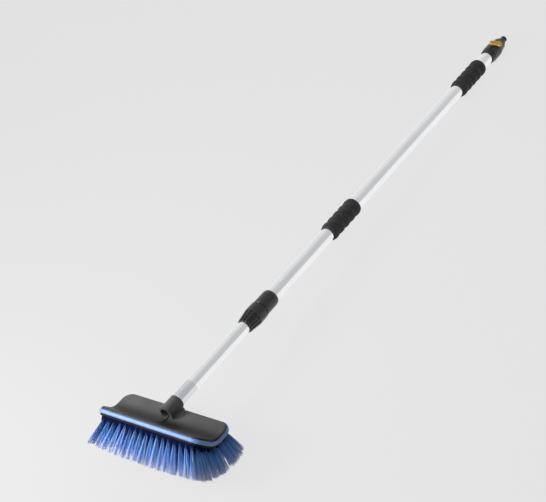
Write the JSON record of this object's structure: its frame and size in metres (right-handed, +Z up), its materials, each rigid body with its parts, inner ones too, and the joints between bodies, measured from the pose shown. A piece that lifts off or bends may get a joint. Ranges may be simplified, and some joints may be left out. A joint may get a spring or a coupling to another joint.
{
  "type": "telescopic wash brush",
  "caption": "Water-fed telescopic wash brush: bent bristle head with a soft bumper, twist-lock aluminium pole with foam grips, shut-off valve and hose nipple.",
  "frame": {"origin": "middle of the box's underside, with the brush lying at rest on its rear bristles and its valve", "axes": "+X along the brush head, +Y from the head towards the hose end, +Z up; the pole drops slightly towards the hose end"},
  "size_m": [0.2512, 1.1882, 0.0963],
  "materials": {
    "black_plastic": "moulded, fine grained, satin",
    "black_foam": "matt closed-cell foam",
    "blue_rubber": "soft satin bumper",
    "blue_bristle": "flagged nylon filament, paler at the tips",
    "aluminium": "satin anodised, drawn along its length",
    "steel": "polished stainless",
    "seal_rubber": "smooth black seal",
    "yellow_plastic": "smooth moulded",
    "white_plastic": "smooth, low friction"
  },
  "bodies": {
    "handle": {"outer_tube": "aluminium", "lock_collar": "black_plastic", "lower_grip": "black_foam", "upper_grip": "black_foam", "valve_body": "black_plastic", "valve_seat_1": "white_plastic", "valve_seat_2": "white_plastic", "tube_o_ring": "seal_rubber", "hose_nipple": "black_plastic", "nipple_o_ring": "seal_rubber", "hose_o_ring": "seal_rubber"},
    "inner_pole": {"inner_tube": "aluminium", "piston": "black_plastic", "piston_o_ring_1": "seal_rubber", "piston_o_ring_2": "seal_rubber", "ferrule": "aluminium", "ferrule_o_ring": "seal_rubber", "head_shell": "black_plastic", "bristle_block": "black_plastic", "bumper_strip": "blue_rubber", "head_screw_1": "steel", "head_screw_2": "steel", "head_screw_3": "steel", "head_screw_4": "steel", "head_screw_5": "steel", "head_screw_6": "steel", "bristle_row_1": "blue_bristle", "bristle_row_2": "blue_bristle", "bristle_row_3": "blue_bristle", "bristle_row_4": "blue_bristle", "bristle_row_5": "blue_bristle", "bristle_row_6": "blue_bristle"},
    "lock_nut": {"lock_nut": "black_plastic"},
    "collet": {"collet": "white_plastic"},
    "shut_off": {"valve_lever": "yellow_plastic", "valve_stem": "steel", "valve_ball": "steel", "stem_o_ring": "seal_rubber"}
  },
  "joints": [
    {"name": "pole_slide", "type": "slide", "parent": "handle", "child": "inner_pole", "axis": [0, -0.9984, 0.0561], "range_m": [-0.14, 0.39]},
    {"name": "lock_nut_turn", "type": "hinge", "parent": "handle", "child": "lock_nut", "pos_m": [0, -0.27028, 0.06227], "axis": [0, 0.9984, -0.0561], "range_deg": [0, 120]},
    {"name": "collet_slide", "type": "slide", "parent": "handle", "child": "collet", "axis": [0, 0.9984, -0.0561], "range_m": [0, 0.0014]},
    {"name": "valve_lever_turn", "type": "hinge", "parent": "handle", "child": "shut_off", "pos_m": [0, 0.55591, 0.01586], "axis": [0.7071, 0.0397, 0.706], "range_deg": [-43, 47]}
  ],
  "couplings": [
    {"joint": "collet_slide", "follows": "lock_nut_turn", "m_per_rad": 0.000637}
  ]
}
